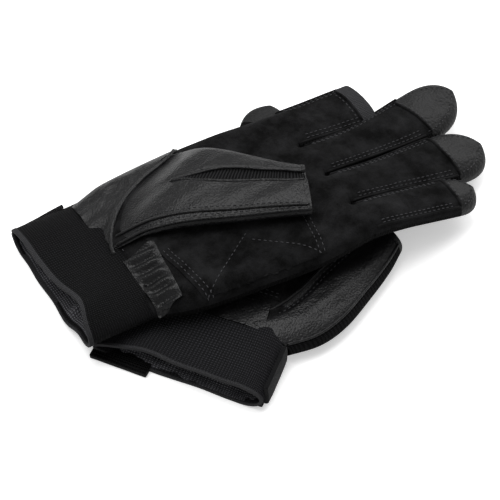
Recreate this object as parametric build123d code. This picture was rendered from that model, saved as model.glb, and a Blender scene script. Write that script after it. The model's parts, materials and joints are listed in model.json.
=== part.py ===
"""A pair of sailing gloves, palms up: the left glove lies across the right one.

Millimetres. +Z is up. +X runs along the left (upper) glove from its cuff to its fingertips, and +Y points to
its thumb side. The gloves are built about the middle of the upper glove's cuff and moved, at the end, so that
the origin is the middle of the footprint, on the surface that the pair lies on.

Each glove is a hollow envelope of sewn panels: a palm panel, a back panel and side strips between them, an
elastic cuff with a hook-and-loop strap, a thumb with a knit insert, and four fingers. The thumb and the index
finger are cut short and open. The other fingers are closed and have leather tips.
"""
from build123d import *
from math import cos, radians, sin
import os

# ---- sizes shared by both gloves ----------------------------------------------------------------------
WALL = 1.4                  # palm, back, finger and thumb panels
SIDE_WALL = 1.4             # strips between the front and back panels
OVERLAY = 1.0               # reinforcement suede and heel leather on the palm
SEAM_GAP = 0.15             # between sewn layers
JOINT_GAP = 0.6             # between pieces that move past each other

CUFF_WIDTH = 91.0
CUFF_LENGTH = 38.0
CUFF_WALL = 1.8
CUFF_MARGIN = 0.6           # from the cuff to the panels sewn to it
HEM_LENGTH = 3.0            # folded edge at the cuff's mouth
HEM_THICKNESS = 0.7
STRAP_WIDTH = 29.0
STRAP_THICKNESS = 1.6
HOOK_LENGTH = 34.0
HOOK_THICKNESS = 0.8
TAB_HEIGHT = 17.0           # the strap's free end, which stands up beside the cuff
TAB_SETBACK = 3.0           # the tab is narrower than the strap

TIP_RAISE = 0.3             # leather tips stand this proud of the suede
FINGER_HEM_LENGTH = 5.0     # hem of an open finger
FINGER_HEM_THICKNESS = 0.8
THUMB_HEM_LENGTH = 1.6

# ---- the upper, left glove ----------------------------------------------------------------------------
REST_HEIGHT = 5.4           # its back panel, at the middle of the cuff's mouth
RISE = 5.15                 # degrees up towards the fingers, over the lower glove
FALL = 4.0                  # degrees down towards its thumb side
CUFF_HEIGHT = 17.0
PALM_HEIGHT = 17.0          # outside of the back panel to outside of the palm panel
KNUCKLE = 150.0             # from the cuff's mouth to the finger bases
LITTLE_SIDE = 65.5          # from the middle line to the edge, at the little finger's base
INDEX_SIDE = 38.5           # and at the index finger's base
THUMB_SIDE = 48.5           # and at the widest part of the thumb side
PASSAGE_RADIUS = 10.0       # way from the palm into the thumb

FINGER_HEIGHT = 13.5
FINGER_DROP = 0.4           # finger fronts lie this far under the palm's surface
INDEX_LENGTH = 53.0         # from its base to its open end
MIDDLE_LENGTH = 101.0
RING_LENGTH = 92.0
LITTLE_LENGTH = 69.0

THUMB_DIRECTION = -26.5     # degrees from the finger direction, across the palm
THUMB_HEIGHT = 11.5
THUMB_LENGTH = 47.5         # hinge line to the open end
THUMB_WIDTH = 34.0          # at the open end
THUMB_SPREAD = 31.5         # from its middle line to its far side, at the hinge line
THUMB_CLEARANCE = 0.6       # over the palm patch
GORE_LENGTH = 44.0
INSERT_WIDTH = 5.6          # knit insert, at the open end
INSERT_OFFSET = 11.0        # and its middle, from the thumb's middle line

# ---- the lower, right glove ---------------------------------------------------------------------------
LOWER_CUFF_CENTRE = (31.0, -74.0)
LOWER_DIRECTION = 36.0      # degrees from the upper glove's finger direction
LOWER_THIN_EDGE = 2.8       # radius of the cuff's edge under the upper glove
LOWER_THICK_EDGE = 6.7      # radius of the cuff's edge at the thumb side
LOWER_HEIGHT = 5.4          # palm surface over the origin
LOWER_RISE = 3.15           # degrees up towards the fingers
LOWER_FALL = 3.43           # degrees down towards its little finger
LOWER_FINGER_HEIGHT = 7.5   # pressed flat by the upper glove
LOWER_FINGER_LIFT = 1.0     # room for the finger hem over the surface

LOWER_THUMB_ROOT = (114.3, -73.2)
LOWER_THUMB_DIRECTION = 18.5
LOWER_THUMB_WIDTH = 24.0
LOWER_THUMB_HEIGHT = 14.5
LOWER_THUMB_LENGTH = 59.0

parts = {}
hinges = {}


# ---- helpers ------------------------------------------------------------------------------------------
def turned(frame, point, degrees):
    """A copy of a frame, moved to a point given in it and turned about its own Z."""
    return Plane(frame.location * Pos(*point) * Rot(0, 0, degrees))


def beside(point, degrees, distance):
    """The point a distance to the left of a heading in degrees."""
    return (point[0] - sin(radians(degrees)) * distance, point[1] + cos(radians(degrees)) * distance)


def ahead(point, degrees, distance):
    """The point a distance along a heading in degrees."""
    return (point[0] + cos(radians(degrees)) * distance, point[1] + sin(radians(degrees)) * distance)


def slab(frame, points, low, high):
    """A flat panel: an outline in the frame's own plane, between two heights over it."""
    face = make_face(Polyline(*points, close=True))
    return frame.location * Pos(0, 0, low) * extrude(face, high - low)


def strips(frame, path, low, high, side, thickness=SIDE_WALL):
    """Upright walls along a path, one straight wall for each run, to its left (side 1) or right (side -1)."""
    path = [Vector(*point) for point in path]
    inner = []
    for i, point in enumerate(path):
        along = (path[min(i + 1, len(path) - 1)] - path[max(i - 1, 0)]).normalized()
        inner.append(point + along.rotate(Axis.Z, 90 * side) * thickness)
    walls = []
    for i in range(len(path) - 1):
        ease = (path[i + 1] - path[i]).normalized() * SEAM_GAP / 2
        corners = [path[i] + ease, path[i + 1] - ease, inner[i + 1] - ease, inner[i] + ease]
        walls.append(slab(frame, corners, low, high))
    return walls


def sleeve(frame, centre, width, height, wall, length):
    """A rectangular tube along the frame's X, with the given outer size and wall."""
    section = Plane(origin=centre, x_dir=(0, 1, 0), z_dir=(1, 0, 0))
    ring = Rectangle(width, height) - Rectangle(width - 2 * wall, height - 2 * wall)
    return frame.location * section.location * extrude(ring, length)


def group(solids):
    return Compound(children=list(solids))


# ---- cuff, strap and tab ------------------------------------------------------------------------------
def cuff(glove, frame, thumb_side, little_radius, thumb_radius):
    """An elastic tube with a folded edge, over its strap. The frame lies under the strap with X along the
    arm. thumb_side is 1 where the thumb is at +Y. The section is the hull of a circle at each edge."""
    lift = STRAP_THICKNESS + 2 * SEAM_GAP
    section = Plane(origin=(0, 0, lift), x_dir=(0, 1, 0), z_dir=(1, 0, 0))

    def outline(grow):
        little = Pos(-thumb_side * (CUFF_WIDTH / 2 - little_radius), little_radius) * Circle(little_radius + grow)
        thumb = Pos(thumb_side * (CUFF_WIDTH / 2 - thumb_radius), thumb_radius) * Circle(thumb_radius + grow)
        return make_hull((little + thumb).edges())

    band = extrude(outline(0) - outline(-CUFF_WALL), CUFF_LENGTH)
    fold = extrude(outline(SEAM_GAP + HEM_THICKNESS) - outline(SEAM_GAP), HEM_LENGTH)
    parts[glove + "_cuff_band"] = frame.location * section.location * band
    parts[glove + "_cuff_hem"] = frame.location * section.location * fold

    start = HEM_LENGTH + CUFF_MARGIN
    end = start + STRAP_WIDTH
    edge = thumb_side * CUFF_WIDTH / 2
    hook_edge = -thumb_side * (CUFF_WIDTH / 2 - thumb_radius / 2)
    hook_inner = hook_edge + thumb_side * HOOK_LENGTH
    strap_inner = hook_inner + thumb_side * SEAM_GAP
    tab_inner = edge + thumb_side * JOINT_GAP
    tab_outer = tab_inner + thumb_side * STRAP_THICKNESS
    strap = [(start, strap_inner), (end, strap_inner), (end, edge), (start, edge)]
    hook = [(start, hook_edge), (end, hook_edge), (end, hook_inner), (start, hook_inner)]
    tab_start, tab_end = start + TAB_SETBACK, end - TAB_SETBACK / 2
    tab = [(tab_start, tab_inner), (tab_end, tab_inner), (tab_end, tab_outer), (tab_start, tab_outer)]
    parts[glove + "_wrist_strap"] = slab(frame, strap, 0, STRAP_THICKNESS)
    parts[glove + "_hook_patch"] = slab(frame, hook, STRAP_THICKNESS - HOOK_THICKNESS, STRAP_THICKNESS)
    parts[glove + "_strap_tab"] = slab(frame, tab, SEAM_GAP, TAB_HEIGHT)
    hinges[glove + "_strap_tab"] = (frame, (0, tab_outer, 0), (-thumb_side, 0, 0))


# ---- fingers ------------------------------------------------------------------------------------------
def tip_outline(start, length, centre, half):
    """A blunt fingertip as a polygon, from its far corner round to its near one."""
    corner, shoulder, nose = length - 0.75 * half, length - 0.25 * half, 0.42 * half
    side = [(start, half), (corner, half), (shoulder, 0.8 * half), (length, nose)]
    return [(x, centre - y) for x, y in side] + [(x, centre + y) for x, y in side[::-1]]


def finger(name, frame, base, length, half, height, tip=0, tip_half=0, tip_shift=0):
    """A finger's front, back and side walls, and its leather tip or, with no tip length, a hemmed open end.
    The frame's origin is on the front of the finger at its base, with X along the finger. base is the plane
    that the finger starts at."""
    root = -height / 2
    tip_start = length - tip
    bottom = -height
    low = bottom + WALL + SEAM_GAP
    high = -WALL - SEAM_GAP

    def trimmed(solid):
        return split(solid, bisect_by=base, keep=Keep.TOP)

    front_end = tip_start - SEAM_GAP
    front = [(root, -half), (front_end, -half), (front_end, half), (root, half)]
    parts[name + "_front"] = trimmed(slab(frame, front, -WALL, 0))
    near = strips(frame, [(root, -half), (front_end, -half)], low, high, 1)
    far = strips(frame, [(root, half), (front_end, half)], low, high, -1)
    walls = [trimmed(wall) for wall in near + far]
    if tip:
        end = tip_outline(tip_start, length, tip_shift, tip_half)
        parts[name + "_tip"] = slab(frame, end, -WALL, TIP_RAISE)
        walls += strips(frame, end, low, high, 1)
        back = [(root, -half), (tip_start, -half)] + end + [(tip_start, half), (root, half)]
    else:
        back = front
        grow = SEAM_GAP + FINGER_HEM_THICKNESS
        hem_start = (length - FINGER_HEM_LENGTH, 0, -height / 2)
        parts[name + "_hem"] = sleeve(frame, hem_start, 2 * (half + grow), height + 2 * grow,
                                      FINGER_HEM_THICKNESS, FINGER_HEM_LENGTH)
    parts[name + "_back"] = trimmed(slab(frame, back, bottom, bottom + WALL))
    parts[name + "_sidewalls"] = group(walls)


# ---- upper glove --------------------------------------------------------------------------------------
def upper_glove():
    frame = Plane(Pos(0, 0, REST_HEIGHT) * Rot(FALL * -1, -RISE, 0))
    top = PALM_HEIGHT
    start = CUFF_LENGTH + CUFF_MARGIN
    end = KNUCKLE - JOINT_GAP / 2
    near = [(start, -CUFF_WIDTH / 2 - 3), (start + 21, -CUFF_WIDTH / 2 - 8.5), (end - 30, 2 - LITTLE_SIDE),
            (end, -LITTLE_SIDE)]
    far = [(end, INDEX_SIDE), (end - 30, THUMB_SIDE - 2.5), (start + 51, THUMB_SIDE),
           (start, CUFF_WIDTH / 2 + 0.5)]
    thumb = turned(frame, (129.5, -35, 0), THUMB_DIRECTION)
    passage = thumb.location * Pos(-THUMB_LENGTH - GORE_LENGTH / 2, 8, top) * Cylinder(PASSAGE_RADIUS, 10)
    parts["upper_back_panel"] = slab(frame, near + far, 0, WALL)
    parts["upper_palm_panel"] = slab(frame, near + far, top - WALL, top) - passage
    low = WALL + SEAM_GAP
    high = top - WALL - SEAM_GAP
    parts["upper_side_strips"] = group(strips(frame, near, low, high, 1) + strips(frame, far, low, high, 1))

    over = top + SEAM_GAP
    heel = [(start + 1, -48), (start + 14, -51.5), (start + 16, -12), (start + 2, -10)]
    patch = [(start + 14.3, -51.7), (start + 83.5, -62), (130, -40), (133, -5), (129, 26), (98, 28), (62, 2),
             (start + 16.5, -12)]
    parts["upper_heel_panel"] = slab(frame, heel, over, over + OVERLAY)
    parts["upper_palm_patch"] = slab(frame, patch, over, over + OVERLAY) - passage
    cuff("upper", frame, 1, CUFF_HEIGHT / 2, CUFF_HEIGHT / 2)
    folded_thumb(thumb, over + OVERLAY + THUMB_CLEARANCE)

    base = Plane(frame.location * Pos(KNUCKLE + JOINT_GAP / 2, 0, 0) * Rot(0, 90, 0))
    fingers = [("index", 22.0, 10.5, INDEX_LENGTH, 15.6, 0, 0, 0),
               ("middle", -7.6, 14.5, MIDDLE_LENGTH, 12.0, 36.0, 15.5, 7.5),
               ("ring", -33.0, 17.0, RING_LENGTH, 12.4, 25.0, 14.0, 0.4),
               ("little", -56.0, 20.5, LITTLE_LENGTH, 9.6, 18.0, 9.8, -0.4)]
    for name, middle, droop, length, half, tip, tip_half, tip_shift in fingers:
        own = Plane(frame.location * Pos(KNUCKLE, middle, top - FINGER_DROP) * Rot(0, droop, 0))
        finger("upper_" + name, own, base, length, half, FINGER_HEIGHT, tip, tip_half, tip_shift)
        hinges["upper_" + name] = (frame, (KNUCKLE, middle, top), (0, -1, 0))


def folded_thumb(frame, bottom):
    """The upper glove's thumb, folded over the palm. The frame's X points to its open end, where the origin
    is. bottom is the height of its underside over the palm's frame."""
    top = bottom + THUMB_HEIGHT
    low = bottom + WALL + SEAM_GAP
    high = top - WALL - SEAM_GAP
    half = THUMB_WIDTH / 2
    root = -THUMB_LENGTH
    outline = [(root, -half), (0, -half), (0, half), (root, THUMB_SPREAD)]
    middle = INSERT_OFFSET
    slit = INSERT_WIDTH / 2
    slot = [(root + 4, middle - 5), (1, middle - slit), (1, middle + slit), (root + 4, middle - 4)]
    slit = slit - SEAM_GAP
    insert = [(root + 6, middle - 4.7), (0, middle - slit), (0, middle + slit), (root + 6, middle - 4.2)]
    parts["upper_thumb_outer"] = slab(frame, outline, top - WALL, top) - slab(frame, slot, high - 1, top + 1)
    parts["upper_thumb_knit_insert"] = slab(frame, insert, top - WALL, top - WALL / 4)
    parts["upper_thumb_inner"] = slab(frame, outline, bottom, bottom + WALL)
    walls = strips(frame, outline[:2], low, high, 1) + strips(frame, outline[2:], low, high, 1)
    parts["upper_thumb_sidewalls"] = group(walls)
    mouth = (SEAM_GAP, 0, (top + bottom) / 2)
    parts["upper_thumb_hem"] = sleeve(frame, mouth, THUMB_WIDTH, THUMB_HEIGHT, SIDE_WALL, THUMB_HEM_LENGTH)
    hinges["upper_thumb"] = (frame, (root - JOINT_GAP / 2, 0, top + SEAM_GAP), (0, -1, 0))

    # the gore rises from a seam on the palm to the thumb's hinge line, on walls of its own
    hinge = root - JOINT_GAP
    far_seam = [(hinge, THUMB_SPREAD), (hinge - 21, 44), (hinge - 36, 24), (hinge - GORE_LENGTH, -half)]
    near_seam = [(hinge - GORE_LENGTH, -half), (hinge, -half)]
    run = GORE_LENGTH
    rise = THUMB_HEIGHT - WALL
    slope = Plane(origin=(hinge, 0, top), x_dir=(run, 0, rise), z_dir=(-rise, 0, run))
    roof = Plane(frame.location * slope.location)
    panel = slab(roof, [(x - hinge, y) for x, y in near_seam + far_seam[:3]], -WALL, 0)
    under = roof.offset(-WALL - SEAM_GAP)
    skirts = strips(frame, near_seam, bottom, top, 1) + strips(frame, far_seam, bottom, top, 1)
    skirts = [split(wall, bisect_by=under, keep=Keep.BOTTOM) for wall in skirts]
    parts["upper_thumb_gore"] = group([panel] + skirts)


# ---- lower glove --------------------------------------------------------------------------------------
def lower_glove():
    floor = Plane.XY
    surface = Plane(Pos(0, 0, LOWER_HEIGHT) * Rot(-LOWER_FALL, -LOWER_RISE, 0))
    under = surface.offset(-WALL - SEAM_GAP)
    turn = LOWER_DIRECTION
    start = ahead(LOWER_CUFF_CENTRE, turn, CUFF_LENGTH + CUFF_MARGIN)
    # middle line of the hand, its heading, and the way out to its little finger side and its thumb side
    stations = [(start, turn, 47, 43), ((90.0, -33.0), 31, 50, 34), ((120.0, -17.0), 25, 50, 37),
                ((148.0, -5.0), 19, 47, 38)]
    left = [beside(point, heading, out) for point, heading, out, _ in stations]
    right = [beside(point, heading, -out) for point, heading, _, out in stations]
    outline = right + left[::-1]
    passage = Pos(98, -50, 10) * Cylinder(PASSAGE_RADIUS - 2, 30)

    def on_palm(points, low, high):
        local = [surface.to_local_coords(Vector(x, y, LOWER_HEIGHT)) for x, y in points]
        return slab(surface, [(p.X, p.Y) for p in local], low, high)

    parts["lower_back_panel"] = slab(floor, outline, 0, WALL)
    parts["lower_palm_panel"] = on_palm(outline, -WALL, 0) - passage
    walls = strips(floor, left, WALL + SEAM_GAP, 30, -1) + strips(floor, right, WALL + SEAM_GAP, 30, 1)
    parts["lower_side_strips"] = group([split(wall, bisect_by=under, keep=Keep.BOTTOM) for wall in walls])
    heel = [ahead(beside(start, turn, -42), turn, 1), ahead(beside(start, turn, -42), turn, 12),
            ahead(beside(start, turn, 30), turn, 12), ahead(beside(start, turn, 30), turn, 1)]
    patch = [ahead(beside(start, turn, -32), turn, 12.4), (106, -60), (134.5, -48.5), (150, -42), (133, 30),
             (98, 22), ahead(beside(start, turn, 30), turn, 12.4)]
    parts["lower_heel_panel"] = on_palm(heel, SEAM_GAP, SEAM_GAP + OVERLAY)
    parts["lower_palm_patch"] = on_palm(patch, SEAM_GAP, SEAM_GAP + OVERLAY) - passage
    cuff("lower", turned(floor, (*LOWER_CUFF_CENTRE, 0), turn), -1, LOWER_THIN_EDGE, LOWER_THICK_EDGE)

    knuckle, heading = stations[-1][:2]
    base_point = ahead(knuckle, heading, JOINT_GAP)
    base = Plane(turned(floor, (*base_point, 0), heading).location * Rot(0, 90, 0))
    top = LOWER_FINGER_LIFT + LOWER_FINGER_HEIGHT
    fingers = [("little", 36.8, 45, 50, 10.2, 18), ("ring", 16.0, 13, 66, 10.4, 22),
               ("middle", -6.2, 3, 70, 10.2, 24), ("index", -27.4, -2, 42, 10.0, 0)]
    for name, out, direction, length, half, tip in fingers:
        own = turned(floor, (*beside(knuckle, heading, out), top), direction)
        finger("lower_" + name, own, base, length, half, LOWER_FINGER_HEIGHT, tip, half + 0.4)
    for kind in ("front", "back", "sidewalls"):
        pieces = [parts.pop("lower_" + one[0] + "_" + kind) for one in fingers]
        parts["lower_finger_" + kind] = group([solid for piece in pieces for solid in piece.solids()])
    outward_thumb()


def outward_thumb():
    """The lower glove's thumb lies beside the palm, turned so that the knit insert is its outer wall."""
    frame = turned(Plane.XY, (*LOWER_THUMB_ROOT, 0), LOWER_THUMB_DIRECTION)
    half = LOWER_THUMB_WIDTH / 2
    top = LOWER_THUMB_HEIGHT
    low = WALL + SEAM_GAP
    high = top - WALL - SEAM_GAP
    end = LOWER_THUMB_LENGTH
    outline = [(JOINT_GAP, -half), (end, -half), (end, half), (JOINT_GAP, half)]
    parts["lower_thumb_outer"] = slab(frame, outline, top - WALL, top)
    parts["lower_thumb_inner"] = slab(frame, outline, 0, WALL)
    parts["lower_thumb_knit_insert"] = group(strips(frame, outline[:2], low, high, 1))
    parts["lower_thumb_sidewall"] = group(strips(frame, outline[2:], low, high, 1))
    mouth = (end + SEAM_GAP, 0, top / 2)
    parts["lower_thumb_hem"] = sleeve(frame, mouth, LOWER_THUMB_WIDTH, top - WALL, SIDE_WALL, THUMB_HEM_LENGTH)
    gore = [(-28.5, -5.2), (0, -half), (0, half - 0.6), (-2.6, half - 0.6)]
    parts["lower_thumb_gore"] = group([slab(frame, gore, top - WALL, top), slab(frame, gore, 0, WALL)]
                                      + strips(frame, gore[:2], low, high, 1))
    hinges["lower_thumb"] = (frame, (0, -half, 0), (0, 0, -1))


# ---- build, set on the origin and save ----------------------------------------------------------------
upper_glove()
lower_glove()
boxes = [solid.bounding_box() for solid in parts.values()]
middle_x = (min(box.min.X for box in boxes) + max(box.max.X for box in boxes)) / 2
middle_y = (min(box.min.Y for box in boxes) + max(box.max.Y for box in boxes)) / 2
shift = Pos(-middle_x, -middle_y, -min(box.min.Z for box in boxes))
os.makedirs("parts", exist_ok=True)
for name, solid in parts.items():
    export_step(shift * solid, f"parts/{name}.step")
print("moved by", shift.position)
for name, (frame, point, axis) in hinges.items():
    centre = shift * frame.location * Pos(*point)
    print("hinge", name, centre.position, (frame.location * Pos(*axis)).position - frame.origin)
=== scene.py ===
import json
from math import cos, exp, hypot, log, pi, radians, sin, sqrt

import bmesh
import bpy
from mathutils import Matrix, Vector, noise

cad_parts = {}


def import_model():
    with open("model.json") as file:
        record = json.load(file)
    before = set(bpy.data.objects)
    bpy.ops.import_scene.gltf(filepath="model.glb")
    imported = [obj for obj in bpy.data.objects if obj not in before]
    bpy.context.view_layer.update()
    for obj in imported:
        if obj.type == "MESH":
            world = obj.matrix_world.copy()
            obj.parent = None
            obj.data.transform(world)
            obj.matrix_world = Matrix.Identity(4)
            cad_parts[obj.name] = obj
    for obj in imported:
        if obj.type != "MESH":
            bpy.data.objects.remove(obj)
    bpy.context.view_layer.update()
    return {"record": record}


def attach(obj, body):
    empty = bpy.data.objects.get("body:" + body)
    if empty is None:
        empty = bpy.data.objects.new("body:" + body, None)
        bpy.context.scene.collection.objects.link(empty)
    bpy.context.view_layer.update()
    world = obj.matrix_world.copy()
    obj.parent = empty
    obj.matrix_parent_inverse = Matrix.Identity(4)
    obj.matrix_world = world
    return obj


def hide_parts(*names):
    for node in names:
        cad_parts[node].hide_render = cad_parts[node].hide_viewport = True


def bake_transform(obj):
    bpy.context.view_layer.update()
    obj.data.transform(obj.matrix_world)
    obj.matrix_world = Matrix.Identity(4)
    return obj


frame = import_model()
scene = bpy.context.scene

# Shapes are worked out in millimetres from the middle of the upper cuff's mouth: x to the fingertips,
# y to the thumb side, z up. The rest mount, 110 mm along and 25 mm to the near side, ties them to the frame.
restMount = frame["record"]["mounts"][0]["pos_m"]
offset = Vector((restMount[0] - 0.110, restMount[1] + 0.025, 0))


def world(x, y, z):
    return offset + Vector((x, y, z)) / 1000


# small maths
def mix(a, b, share):
    return a + (b - a) * share


def ease(value, start=0.0, end=1.0):
    share = min(1, max(0, (value - start) / (end - start)))
    return share * share * (3 - 2 * share)


def smoothThrough(values, place):  # Catmull-Rom; place runs from 0 to len - 1
    last = len(values) - 1
    i = min(int(place), last - 1)
    t = place - i
    p0, p1, p2, p3 = (values[min(max(k, 0), last)] for k in range(i - 1, i + 3))
    return 0.5 * (2 * p1 + (p2 - p0) * t + (2 * p0 - 5 * p1 + 4 * p2 - p3) * t ** 2
                  + (3 * p1 - p0 - 3 * p2 + p3) * t ** 3)


def curveOf(points):  # y as a smooth function of x
    def value(x):
        i = 0
        while i < len(points) - 2 and x > points[i + 1][0]:
            i += 1
        (x0, y0), (x1, y1) = points[i], points[i + 1]
        t = min(1, max(0, (x - x0) / (x1 - x0)))
        before, after = points[max(i - 1, 0)], points[min(i + 2, len(points) - 1)]
        m0 = (y1 - before[1]) / (x1 - before[0]) * (x1 - x0)
        m1 = (after[1] - y0) / (after[0] - x0) * (x1 - x0)
        return ((2 * t ** 3 - 3 * t ** 2 + 1) * y0 + (t ** 3 - 2 * t ** 2 + t) * m0
                + (3 * t ** 2 - 2 * t ** 3) * y1 + (t ** 3 - t ** 2) * m1)
    return value


def lineOf(points):  # a point at a share of the way along a smooth line
    points = [Vector(p) for p in points]
    reach = [0]
    for a, b in zip(points, points[1:]):
        reach.append(reach[-1] + (b - a).length)

    def at(share):
        goal = min(1, max(0, share)) * reach[-1]
        i = 0
        while i < len(reach) - 2 and goal > reach[i + 1]:
            i += 1
        return smoothThrough(points, i + (goal - reach[i]) / (reach[i + 1] - reach[i]))
    at.length = reach[-1]
    return at


def roundOff(share, power=2.4):  # side profile of a soft pillow: 0 at its edge, 1 from `share` 1 on
    return (1 - (1 - min(1, max(0, share))) ** power) ** (1 / power)


def ripple(x, y, sizeX, sizeY, seed=0):
    return noise.noise(Vector((x / sizeX, y / sizeY, seed * 7.3)))


# materials
def linear(hexColour):
    def channel(pair):
        value = int(pair, 16) / 255
        return value / 12.92 if value <= 0.04045 else ((value + 0.055) / 1.055) ** 2.4
    return (*(channel(hexColour[i:i + 2]) for i in (1, 3, 5)), 1)


def addNode(tree, kind, links=None, values=None, **settings):
    node = tree.nodes.new("ShaderNode" + kind)
    for key, value in settings.items():
        setattr(node, key, value)
    for key, value in (values or {}).items():
        node.inputs[key].default_value = value
    for key, socket in (links or {}).items():
        tree.links.new(socket, node.inputs[key])
    return node


def newMaterial(name, roughness, specular=0.5, sheen=0.0, sheenRoughness=0.5):
    material = bpy.data.materials.new(name)
    material.use_nodes = True
    tree = material.node_tree
    shader = tree.nodes["Principled BSDF"]
    shader.inputs["Roughness"].default_value = roughness
    shader.inputs["Specular IOR Level"].default_value = specular
    shader.inputs["Sheen Weight"].default_value = sheen
    shader.inputs["Sheen Roughness"].default_value = sheenRoughness
    return material, tree, shader


def twoTones(tree, shader, factor, dark, light, start=0.35, end=0.65):
    ramp = addNode(tree, "ValToRGB", {"Fac": factor})
    ramp.color_ramp.elements[0].position = start
    ramp.color_ramp.elements[1].position = end
    ramp.color_ramp.elements[0].color = linear(dark)
    ramp.color_ramp.elements[1].color = linear(light)
    tree.links.new(ramp.outputs["Color"], shader.inputs["Base Color"])


def bumps(tree, shader, *layers):  # each layer is a height socket and its depth in metres
    normal = None
    for height, depth in layers:
        links = {"Height": height}
        if normal:
            links["Normal"] = normal
        normal = addNode(tree, "Bump", links, {"Strength": 1.0, "Distance": depth}).outputs["Normal"]
    tree.links.new(normal, shader.inputs["Normal"])


def perMetre(millimetres):  # pattern scale for a feature of this size
    return 1000 / millimetres


def noiseAt(tree, place, size, detail=2, roughness=0.5):
    values = {"Scale": perMetre(size), "Detail": detail, "Roughness": roughness}
    return addNode(tree, "TexNoise", {"Vector": place}, values)


def suedeMaterial():  # brushed microfibre suede: a dead matt nap, its brush marks raised in the bump and painted lighter as a painted sheen
    material, tree, shader = newMaterial("nappedSuede", 0.95, 0.04, 0.01, 0.6)
    place = addNode(tree, "TexCoord").outputs["Object"]
    # the brush marks' lighter tone is a painted sheen of the nap; their bump is real
    strokesAndSheen = noiseAt(tree, place, 13, 6, 0.68).outputs["Fac"]
    nap = noiseAt(tree, place, 0.55, 3, 0.7).outputs["Fac"]
    both = addNode(tree, "Mix", {"A": strokesAndSheen, "B": nap}, {"Factor": 0.22}).outputs["Result"]
    twoTones(tree, shader, both, "#080808", "#242425", 0.40, 0.70)
    bumps(tree, shader, (nap, 0.0003), (strokesAndSheen, 0.0008))
    return material


# drum-dyed skin: small cells with fine creases between them, and a low soft gloss
def leatherMaterial(name, grain, dark, light, roughness, depth):
    material, tree, shader = newMaterial(name, roughness, 0.26)
    place = addNode(tree, "TexCoord").outputs["Object"]
    wobble = noiseAt(tree, place, grain * 3, 2)
    shifted = addNode(tree, "VectorMath", {0: place}, operation="ADD")
    small = addNode(tree, "VectorMath", {0: wobble.outputs["Color"]}, {1: (0.0012,) * 3},
                    operation="MULTIPLY")
    tree.links.new(small.outputs["Vector"], shifted.inputs[1])
    cells = addNode(tree, "TexVoronoi", {"Vector": shifted.outputs["Vector"]},
                    {"Scale": perMetre(grain), "Randomness": 1.0}, feature="SMOOTH_F1")
    creases = addNode(tree, "MapRange", {"Value": cells.outputs["Distance"]},
                      {"From Min": 0.1, "From Max": 0.75, "To Min": 1.0, "To Max": 0.0})
    pull = noiseAt(tree, place, 16, 4, 0.6).outputs["Fac"]
    twoTones(tree, shader, pull, dark, light)
    bumps(tree, shader, (creases.outputs["Result"], depth), (pull, 0.0004))
    return material


# woven or knit ribs on the piece's own UV map, which is laid out in metres
def ribbedMaterial(name, pitch, dark, light, roughness, across="X", cross=0, sheen=0.01):
    material, tree, shader = newMaterial(name, roughness, 0.06, sheen)
    uv = addNode(tree, "TexCoord").outputs["UV"]
    ribs = addNode(tree, "TexWave", {"Vector": uv},
                   {"Scale": perMetre(pitch) * 2 * pi / 20, "Distortion": 0.0}, bands_direction=across)
    height = ribs.outputs["Fac"]
    if cross:
        other = "Y" if across == "X" else "X"
        threads = addNode(tree, "TexWave", {"Vector": uv},
                          {"Scale": perMetre(cross) * 2 * pi / 20, "Distortion": 0.6, "Detail": 1.0},
                          bands_direction=other)
        height = addNode(tree, "Math", {0: ribs.outputs["Fac"], 1: threads.outputs["Fac"]},
                         operation="MULTIPLY").outputs["Value"]
    fuzz = noiseAt(tree, addNode(tree, "TexCoord").outputs["Object"], 0.5, 3).outputs["Fac"]
    both = addNode(tree, "Mix", {"A": height, "B": fuzz}, {"Factor": 0.35}).outputs["Result"]
    twoTones(tree, shader, both, dark, light, 0.15, 0.75)
    bumps(tree, shader, (fuzz, 0.0002), (height, 0.0006))
    return material


finish = {
    "suede": suedeMaterial(),
    # soft glove leather, whose folds catch a dull light
    "leather": leatherMaterial("grainedGoatskin", 0.9, "#0c0c0d", "#151516", 0.38, 0.0002),
    # thicker embossed leather at the fingertips
    "tipLeather": leatherMaterial("pebbledLeather", 1.3, "#060607", "#0c0c0d", 0.56, 0.00026),
    # dense woven elastic, matt, the weave just showing
    "elastic": ribbedMaterial("wovenElastic", 1.25, "#080808", "#202022", 0.85, "X", 1.1),
    # the same elastic in a coarser, lighter weave
    "coarseElastic": ribbedMaterial("coarseElastic", 1.4, "#0e0e0f", "#313134", 0.85, "X", 1.2),
    # ribbed knit in the side strips and finger walls, nearly black
    "knit": ribbedMaterial("ribKnit", 1.9, "#040404", "#161617", 0.9, "X", 0.9),
    # stretch fabric on the backs
    "back": ribbedMaterial("stretchMesh", 1.3, "#0b0b0c", "#181819", 0.8, "Y", 1.3),
    # folded edge tape, paler than the elastic it closes
    "tape": ribbedMaterial("edgeTape", 0.9, "#2b2b2c", "#4a4a4d", 0.75, "Y", 0.9),
    # brushed loop webbing
    "strap": ribbedMaterial("loopWebbing", 1.0, "#0c0c0d", "#202022", 0.95, "Y", 1.2, 0.1),
    # moulded nylon hook tape, dark with a low shine
    "hook": ribbedMaterial("hookTape", 1.6, "#030303", "#121213", 0.4, "X", 1.6, 0),
    # fine ribs at the bottom of the thumb's slit
    "knitFine": ribbedMaterial("ribKnitFine", 1.5, "#040404", "#262627", 0.9, "X", 0),
    # the broad ribs on the lower thumb's outer edge
    "knitCross": ribbedMaterial("ribKnitEdge", 2.3, "#050505", "#1e1e20", 0.9, "X", 1.2),
    # thin woven lining with a satin shine
    "lining": ribbedMaterial("satinLining", 1.2, "#242426", "#77777c", 0.4, "X", 1.2),
    # bonded nylon thread, a mid grey against the black
    "thread": ribbedMaterial("bondedThread", 0.5, "#424244", "#606064", 0.55, "X", 0, 0),
}
print("materials ready")


skyward, floorward = Vector((0, 0, 1)), Vector((0, 0, -1))


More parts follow.
